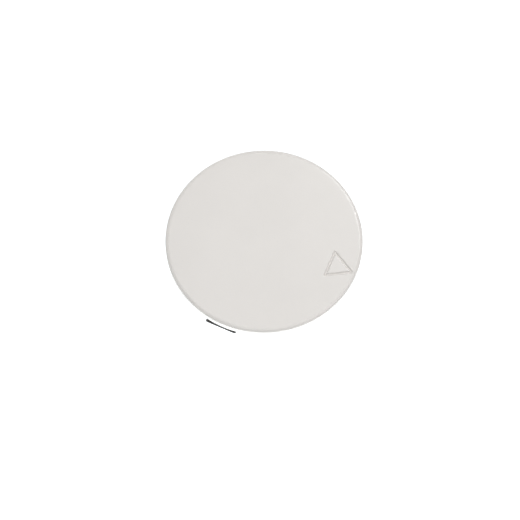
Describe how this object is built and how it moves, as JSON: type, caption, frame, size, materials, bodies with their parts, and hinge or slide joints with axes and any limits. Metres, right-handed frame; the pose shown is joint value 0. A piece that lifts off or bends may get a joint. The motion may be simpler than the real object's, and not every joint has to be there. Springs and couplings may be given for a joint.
{
  "type": "fire sprinkler head",
  "caption": "Concealed pendent fire sprinkler head: flat round white cover plate on a screw-in retainer, glass-bulb head with dropping deflector in a steel cup, and a taper pipe thread.",
  "frame": {"origin": "centre of the threaded inlet end, on the head's centre line", "axes": "+Z out of the cover plate's face (down into the room in use), +X through one guide pin, Y square to the frame arms"},
  "size_m": [0.081, 0.081, 0.0585],
  "materials": {
    "cover_white": "warm white satin paint",
    "retainer_brass": "bright rolled or turned brass",
    "body_brass": "cast brass with turned faces",
    "deflector_bronze": "stamped bronze",
    "cup_zinc": "zinc-plated pressed steel",
    "spring_steel": "spring steel",
    "pin_steel": "polished stainless steel",
    "ear_steel": "dark phosphated steel, matte",
    "washer_nickel": "nickel disc spring with a thin coating",
    "solder": "fusible solder",
    "bulb_glass": "clear glass",
    "bulb_liquid": "red liquid"
  },
  "bodies": {
    "head": {"sprinkler_body": "body_brass", "guide_pin_housing": "body_brass", "support_cup": "cup_zinc", "cup_lock_ring": "spring_steel", "load_screw": "retainer_brass", "glass_bulb": "bulb_glass", "bulb_liquid": "bulb_liquid", "seat_button": "retainer_brass", "sealing_washer": "washer_nickel", "ejection_spring": "spring_steel"},
    "retainer_assembly": {"retainer": "retainer_brass", "standoff_ear_1": "ear_steel", "standoff_ear_2": "ear_steel", "standoff_ear_3": "ear_steel"},
    "cover": {"cover_plate": "cover_white", "solder_pad_1": "solder", "solder_pad_2": "solder", "solder_pad_3": "solder"},
    "drop_deflector": {"deflector": "deflector_bronze", "guide_pin_1": "pin_steel", "guide_pin_2": "pin_steel"}
  },
  "joints": [
    {"name": "cover_adjust", "type": "slide", "parent": "head", "child": "retainer_assembly", "axis": [0, 0, 1], "range_m": [0, 0.0127]},
    {"name": "cover_release", "type": "slide", "parent": "retainer_assembly", "child": "cover", "axis": [0, 0, 1], "range_m": [0, 0.09]},
    {"name": "deflector_drop", "type": "slide", "parent": "head", "child": "drop_deflector", "axis": [0, 0, 1], "range_m": [0, 0.0198]}
  ],
  "couplings": [
    {"joint": "deflector_drop", "follows": "cover_release", "ratio": 0.22}
  ]
}
